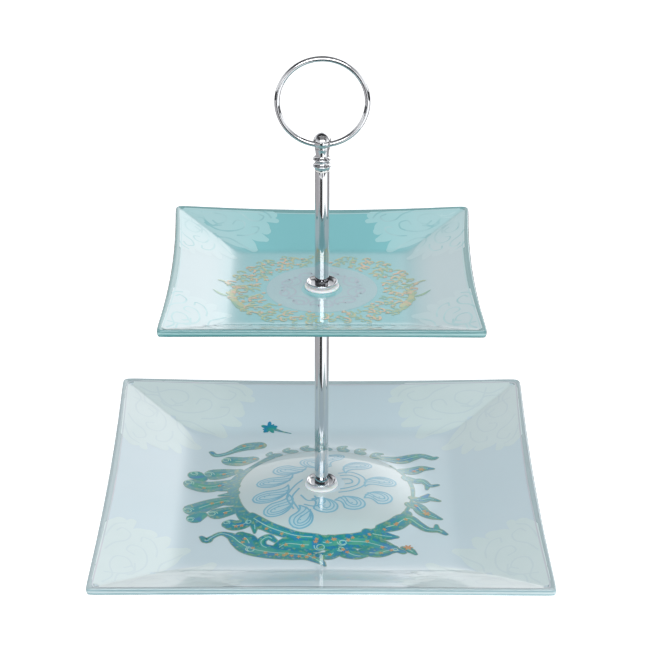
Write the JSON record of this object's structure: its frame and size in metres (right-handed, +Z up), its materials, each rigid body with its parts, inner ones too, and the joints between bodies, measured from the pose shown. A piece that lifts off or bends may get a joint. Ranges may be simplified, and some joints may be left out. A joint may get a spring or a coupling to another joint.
{
  "type": "tiered cake stand",
  "caption": "Two-tier square glass cake stand with upturned rims, a chromed centre rod, saucer cups with white gaskets and a ring handle on a turned finial.",
  "frame": {"origin": "on the table, under the rod: the middle of the lower plate's underside", "axes": "+Z up along the rod, +X to the right and +Y away from a viewer who faces the ring handle; the ring lies in the XZ plane"},
  "size_m": [0.2522, 0.2522, 0.275],
  "materials": {
    "glass_lower": "slumped float glass, clear with a printed pattern underneath",
    "glass_upper": "slumped float glass, pale teal with a printed pattern underneath",
    "gasket": "white moulded silicone",
    "zinc": "zinc-plated steel",
    "chrome": "polished chrome plate",
    "brass": "turned brass",
    "nylon": "natural nylon"
  },
  "bodies": {
    "base": {"lower_plate": "glass_lower", "lower_top_gasket": "gasket", "lower_bottom_gasket": "gasket"},
    "column": {"base_washer": "zinc", "base_screw": "zinc", "lower_top_cup": "chrome", "lower_tube": "chrome", "lower_tube_bottom_insert": "brass", "lower_tube_top_insert": "brass", "upper_bottom_cup": "chrome", "joiner_stud": "zinc", "upper_top_cup": "chrome", "upper_tube": "chrome", "upper_tube_bottom_insert": "brass", "upper_tube_top_insert": "brass"},
    "upper_tier": {"upper_plate": "glass_upper", "upper_top_gasket": "gasket", "upper_bottom_gasket": "gasket"},
    "handle_slip": {"handle_washer": "nylon"},
    "handle": {"finial": "chrome", "handle_stud": "zinc", "ring_handle": "chrome"}
  },
  "joints": [
    {"name": "rod_turn", "type": "hinge", "parent": "base", "child": "column", "pos_m": [0, 0, 0.0125], "axis": [0, 0, 1], "continuous": true},
    {"name": "upper_plate_turn", "type": "hinge", "parent": "column", "child": "upper_tier", "pos_m": [0, 0, 0.1355], "axis": [0, 0, 1], "continuous": true},
    {"name": "handle_turn", "type": "hinge", "parent": "column", "child": "handle_slip", "pos_m": [0, 0, 0.21], "axis": [0, 0, 1], "range_deg": [0, 3600]},
    {"name": "handle_lift", "type": "slide", "parent": "handle_slip", "child": "handle", "axis": [0, 0, 1], "range_m": [0, 0.008]}
  ],
  "couplings": [
    {"joint": "handle_lift", "follows": "handle_turn", "m_per_rad": 0.00012732}
  ]
}
